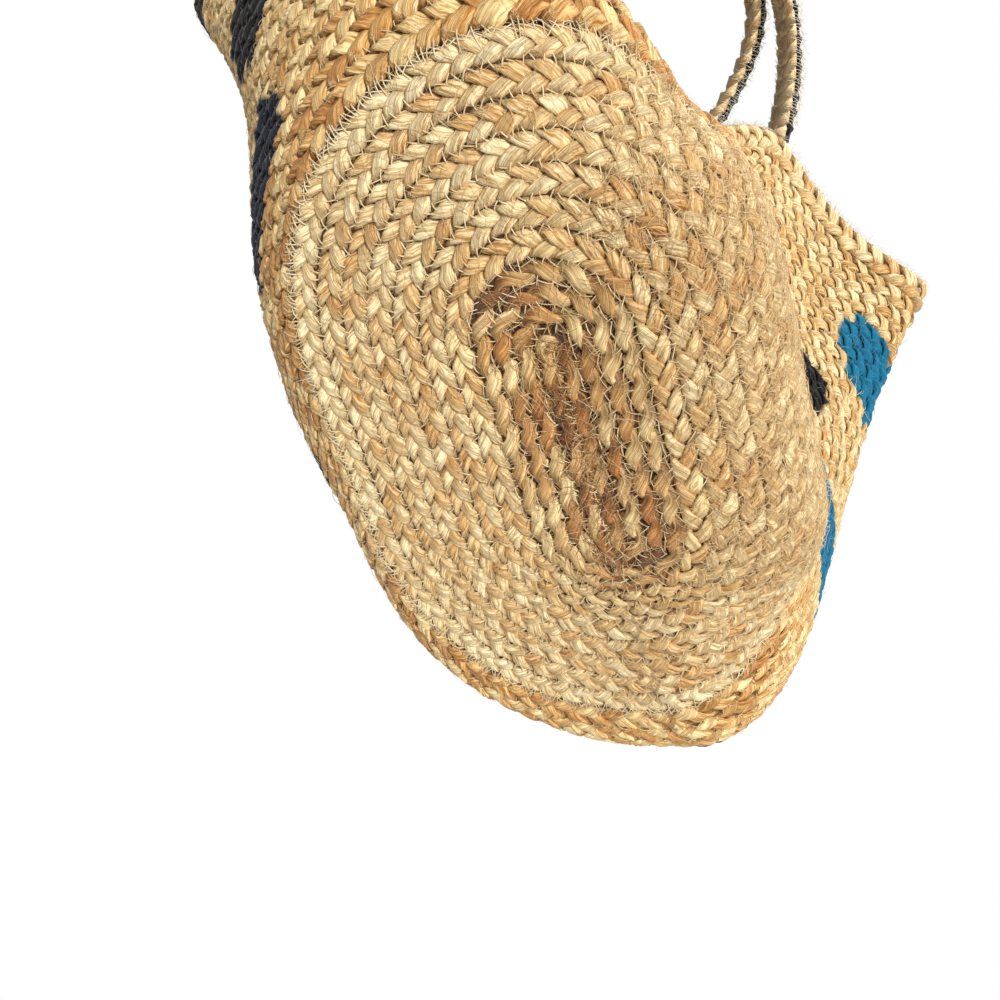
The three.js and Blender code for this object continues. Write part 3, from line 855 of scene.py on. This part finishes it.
def loop_path(side, lean_deg, drift, inset):
    """Middle line of one braid of a loop, from below one root to below the other."""
    first = math.acos(FRONT_ROOT if side < 0 else BACK_ROOT)
    phase = side * np.array([first, math.pi - first])
    far, near = mouth_points(phase, np.zeros((2, 3))) + [0, 0, ROOT_LIFT]
    span = np.linalg.norm(near - far)
    along = (near - far) / span
    lean = math.radians(lean_deg)
    rise = np.array([0, 0, 1]) * math.cos(lean) + np.cross(along, [0, 0, 1]) * math.sin(lean)
    width_way = unit(np.cross(along, rise))

    def spot(turn):
        forward = span / 2 * (1 - np.cos(turn)) + drift * np.sin(turn)
        return far + np.outer(forward, along) + np.outer(LOOP_HEIGHT * np.sin(turn), rise)

    turn = np.linspace(0, math.pi, 241)
    inward = unit(np.cross(unit(spot(turn + 0.001) - spot(turn - 0.001)), width_way))
    path = spot(turn) + inward * inset
    down = np.linspace(TAIL, TAIL / 6, 6)[:, None] * rise
    return np.concatenate([path[0] - down, path, (path[-1] - down)[::-1]]), width_way


def open_row(path, width_way, seed):
    """One braid along an open path, with its width along one fixed way."""
    at = np.concatenate([[0], np.cumsum(np.linalg.norm(np.diff(path, axis=0), axis=-1))])
    steps = STEPS + 4
    periods = round(at[-1] / (PERIOD_SHARE * STRAP_WIDTH) * 2) / 2
    count = int(periods * steps) + 1
    place = sampled(np.linspace(0, at[-1], count), at, path)
    run = unit(np.gradient(place, axis=0))
    normal = unit(np.cross(width_way, run))
    blank = np.zeros(count)
    return dict(place=place, normal=normal, side=unit(np.cross(run, normal)), size=blank + 1,
                turn=2 * math.pi * np.arange(count) / steps, tone=blank + 0.34, row=blank + seed,
                dye=np.zeros((count, 4)), closed=False)


loops = {}
for place, side, lean, drift in (("front", -1, -12, 45), ("back", 1, -31, -20)):
    body = "handle_" + place
    natural = open_row(*loop_path(side, lean, drift, NATURAL_INSET), seed=70 + side)
    black = open_row(*loop_path(side, lean, drift, BLACK_INSET), seed=80 + side)
    braid(body + "_natural", [body + "_inner"], [natural], STRAP_WIDTH, NATURAL_THICK,
          jute_braid, body, sides=10, roll=1.0, squeeze=0.4)
    braid(body + "_black", [body + "_outer"], [black], STRAP_WIDTH, BLACK_THICK, jute_black,
          body, sides=10, roll=1.0, squeeze=0.6)
    loops[body] = (natural, black)

# %% [markdown]
# Each joint between rows is sewn with pale thread in short slanting stitches. One long
# wavy thread would take far more faces, so a thin bent tube is set at even steps along
# the joint, leaned and swung at random, and lifted to the face of the cloth.
# %% A tree that sews
def chance(given, low, high, offset, kind="FLOAT"):
    """A random value for each point, from the tree's own seed."""
    first = 0 if kind == "FLOAT_VECTOR" else 2
    sockets = {first: low, first + 1: high, "Seed": given["Seed"] + offset}
    return given.nodes.add("FunctionNodeRandomValue", sockets, out=first // 2, data_type=kind)


def bent_thread(nodes, given, start, middle, end, caps=True):
    """A three-sided thread along a short bent line."""
    sockets = {"Resolution": 4, "Start": start, "Middle": middle, "End": end}
    line = nodes.add("GeometryNodeCurveQuadraticBezier", sockets)
    ring = nodes.add("GeometryNodeCurvePrimitiveCircle", {"Resolution": 3, "Radius": given["Thread"] / 2})
    sockets = {"Curve": line, "Profile Curve": ring, "Fill Caps": caps}
    return nodes.add("GeometryNodeCurveToMesh", sockets)


def set_out(nodes, given, points, thread, way, turn, size, tone):
    """Ends a tree with a thread at each point, with a turn, size and tone of its own."""
    turned = nodes.add("FunctionNodeRotateRotation", {0: way, 1: turn}, rotation_space="LOCAL")
    sockets = {"Points": points, "Instance": thread, "Rotation": turned, "Scale": size}
    threads = nodes.add("GeometryNodeInstanceOnPoints", sockets)
    return close_tree(nodes, stored(nodes, threads, "leaf", tone, "INSTANCE"), given)


def stitch_tree():
    nodes, given = new_tree("stitches_along_a_joint", "Spacing", "Length", "Thread", "Height", "Arch",
                            "Lean", "Swing", "Zigzag")
    half, arch = given["Length"] / 2, given["Arch"]
    stitch = bent_thread(nodes, given, nodes.xyz(0.0, half * -1, arch * -1), nodes.xyz(0.0, 0.0, arch),
                         nodes.xyz(0.0, half, arch * -1))
    curve = nodes.add("GeometryNodeMeshToCurve", {"Mesh": given})
    sockets = {"Curve": curve, "Length": given["Spacing"]}
    curve = nodes.add("GeometryNodeResampleCurve", sockets, mode="LENGTH")
    normal = named(nodes, "cloth_normal", "FLOAT_VECTOR")
    sockets = {"Primary Axis": normal, "Secondary Axis": nodes.add("GeometryNodeInputTangent")}
    way = nodes.add("FunctionNodeAxesToRotation", sockets, primary_axis="Z", secondary_axis="X")
    odd = nodes.add("GeometryNodeInputIndex").math("MODULO", 2.0) * 2 - 1
    swing = chance(given, -1.0, 1.0, 3) * given["Swing"]
    angle = given["Lean"] + swing + odd * given["Zigzag"]
    turn = nodes.add("FunctionNodeAxisAngleToRotation", {"Axis": (0, 0, 1), "Angle": angle})
    height = given["Height"] + chance(given, -0.0003, 0.0003, 5)
    curve = moved(nodes, curve, nodes.scaled(normal, height))
    size = nodes.xyz(1.0, chance(given, 0.75, 1.2, 7), 1.0)
    return set_out(nodes, given, curve, stitch, way, turn, size, chance(given, 0.0, 1.0, 9))


SEW = stitch_tree()


def sew(name, paths, material=sewing_thread, body="bag", slot="edge_jute", **sizes):
    """Sews along guide rows, with sizes in mm and radians by the tree's names."""
    piece = made_by(SEW, guide_mesh(name + "_guide", paths), name, material=material, **sizes)
    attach(piece, body)


# %% [markdown]
# The base's joints carry the stitches that show most. The frayed core is sewn over again
# in a dense zigzag, and the sewn ridge wears a fringe of stitches across its top.
# %% Stitches of the base
def joint(cloth, reach, seed, dye=None):
    return closed_row(*between(cloth, reach), ROW_PITCH, 12, seed=seed, dye=dye)


joints = [joint(BASE, reach + ROW_PITCH / 2, 100 + k) for k, reach in enumerate(BASE_ROWS)]
sew("base_stitches", joints, spacing=3.7, length=6.2, thread=0.6, height=3.1, arch=1.1, lean=0.15,
    swing=0.5, zigzag=0.6, seed=2)
core_joints = [joint(BASE, reach, 120 + k) for k, reach in enumerate((0.6, 9, 18, 27, 36))]
sew("core_stitches", core_joints, spacing=3.4, length=6.4, thread=0.5, height=3.5, arch=0.9, lean=0.1,
    swing=1.1, zigzag=0.5, seed=5)
sew("ridge_stitches", [joint(BASE, BASE_RADIUS - 1.0, 130)], spacing=1.7, length=8.5, thread=0.6,
    height=3.6, arch=1.6, lean=0.1, swing=0.8, zigzag=0.45, seed=7)

# %% [markdown]
# The walls are sewn right through, so the same joints show stitches inside too, at a
# negative height. White thread is wound over the rim's edge.
# %% Stitches of the walls and the rim
wall_joints = [joint(WALL, k / WALL_ROWS, 140 + k, wall_dye(k / WALL_ROWS)) for k in range(1, WALL_ROWS)]
sew("wall_stitches", wall_joints, spacing=5.2, length=7.5, thread=0.5, height=3.0, arch=1.1, lean=0.3,
    swing=0.45, zigzag=0.4, seed=11)
sew("wall_inner_stitches", wall_joints, spacing=9.0, length=7.5, thread=0.5, height=-2.9, arch=-1.1,
    lean=-0.55, swing=0.4, seed=12)
rim_edge = closed_row(rim + rim_wide * (RIM_WIDTH / 2 - 1.0), rim_wide, RIM_WIDTH, 12, seed=170)
sew("rim_stitches", [rim_edge], white_thread, spacing=3.6, length=9.0, thread=0.45, height=1.2,
    arch=2.6, lean=0.25, swing=0.3, seed=13)

# %% [markdown]
# White thread is whipped over both edges of a strap, on a path midway between its braids,
# and stops short of the rim, so that the strap can swing.
# %% Stitches of the loops
WHIPPING_TRIM = slice(9, -9)


def strap_edge(row, sign, across):
    """A sewing path along one edge of a strap, facing sideways."""
    edge_way = row["side"] * sign
    path = dict(row, place=row["place"] + edge_way * across, normal=edge_way)
    return {key: value[WHIPPING_TRIM] if isinstance(value, np.ndarray) else value
            for key, value in path.items()}


for body, (natural, black) in loops.items():
    beside = np.linspace(0, len(black["place"]) - 1, len(natural["place"])).round().astype(int)
    middle = dict(natural, place=natural["place"] * 0.5 + 0.5 * black["place"][beside])
    edges = [strap_edge(middle, sign, STRAP_WIDTH / 2 - 1.5) for sign in (1, -1)]
    sew(body + "_whipping", edges, white_thread, body, spacing=4.2, length=13.0, thread=0.45, height=1.0,
        arch=1.8, lean=0.35, swing=0.25, zigzag=0.25, seed=17)

# %% [markdown]
# Jute sheds: fine fibres stand off the whole cloth, more on the worn core, and short ones
# make a pale fuzz on the rim and the straps. The export keeps only faces, not hair, so
# thin bent threads are scattered over the cloth's sheet.
# %% A tree that sheds fibres
def fibre_tree():
    nodes, given = new_tree("loose_fibres", "Density", "Length", "Thread", "Height", "Stand")
    length, stand = given["Length"], given["Stand"]
    middle = nodes.xyz(length * 0.25, length * 0.5, length * 0.18)
    fibre = bent_thread(nodes, given, (0, 0, 0), middle, nodes.xyz(0.0, length, 0.0), caps=False)
    sockets = {"Mesh": given, "Density": given["Density"], "Seed": given["Seed"]}
    points = nodes.add("GeometryNodeDistributePointsOnFaces", sockets)
    lean = chance(given, (0, -1, -3.15), (1, 1, 3.15), 2, "FLOAT_VECTOR")
    lean = nodes.vector("MULTIPLY", lean, nodes.xyz(stand, stand, 1.0))
    turn = nodes.add("FunctionNodeEulerToRotation", {"Euler": lean})
    raised = moved(nodes, points, nodes.scaled(points["Normal"], given["Height"]))
    size = chance(given, 0.4, 1.4, 4)
    return set_out(nodes, given, raised, fibre, points["Rotation"], turn, nodes.xyz(size, size, size),
                   chance(given, 0.0, 1.0, 6))


SHED = fibre_tree()


def shed(name, grid, material=loose_fibre, body="bag", ring=True, dye=None, **sizes):
    """Scatters fibres over a grid of points; they take the cloth's dye."""
    mesh = grid_mesh(name, grid, ring)
    dye = np.zeros(4 * len(mesh.vertices)) if dye is None else dye.ravel()
    mesh.attributes.new("dye", "FLOAT_COLOR", "POINT").data.foreach_set("color", dye.astype(np.float32))
    piece = made_by(SHED, placed(name + "_guide", mesh), name, material=material, **sizes)
    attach(piece, body)


# %% [markdown]
# The curled front of the base looks the most brushed, so it has a fuzz of its own, and
# the core's first turns are worn to a brown clump.
# %% Loose fibres of the base and the walls
shed("base_fuzz", base_grid[::6, 2:119:4], density=78e3, length=8.0, thread=0.16, height=3.7,
     stand=0.12, seed=1)
shed("belly_fuzz", base_grid[410:640:4, 48:119:4], ring=False, density=170e3, length=7.0, thread=0.22,
     height=3.6, stand=0.08, seed=9)
shed("core_fuzz", base_grid[::6, 1:34:4], density=20e3, length=6.5, thread=0.2, height=3.4,
     stand=0.4, seed=2)
shed("core_clump", base_grid[::6, 0:10:3], brown_fibre, density=260e3, length=6.0,
     thread=0.22, height=2.8, stand=0.6, seed=8)
dye = dye_at(*np.meshgrid(shares[::6], WALL_REACH[0:240:4] * wall_height, indexing="ij"))
shed("wall_fuzz", wall_grid[::6, 0:240:4], dye=dye, density=11e3, length=7.0, thread=0.18,
     height=3.4, stand=0.14, seed=3)

# %% [markdown]
# On an edge the fibres stand off a narrow strip. The straps' strips end clear of the rim.
# %% Fuzz of the rim, the ridge and the straps
FUZZ_TRIM = slice(11, -11)


def edge_strip(middle, across, half):
    """A strip along a path, two points wide, for fibres on an edge."""
    return np.stack([middle - across * half, middle + across * half], 1)


rim_strip = edge_strip(rim + rim_wide * 3.0, rim_through, 4.5)[::4][:, ::-1]
shed("rim_fuzz", rim_strip, white_thread, density=500e3, length=2.6, thread=0.18,
     height=3.8, stand=0.9, seed=4)
ridge_strip = edge_strip(base_grid[:, 117], BASE[1][:, 117], 4.0)[::4][:, ::-1]
shed("ridge_fuzz", ridge_strip, white_thread, density=220e3, length=4.5, thread=0.22,
     height=2.6, stand=0.8, seed=5)
for body, (natural, black) in loops.items():
    for sign, label in ((1, "one"), (-1, "other")):
        middle = black["place"] + black["side"] * sign * 8.5
        strip = edge_strip(middle, black["normal"] * sign, 3.0)[FUZZ_TRIM]
        shed(f"{body}_fuzz_{label}", strip, white_thread, body, ring=False, density=420e3, length=2.6,
             thread=0.18, height=0.9, stand=1.0, seed=6)
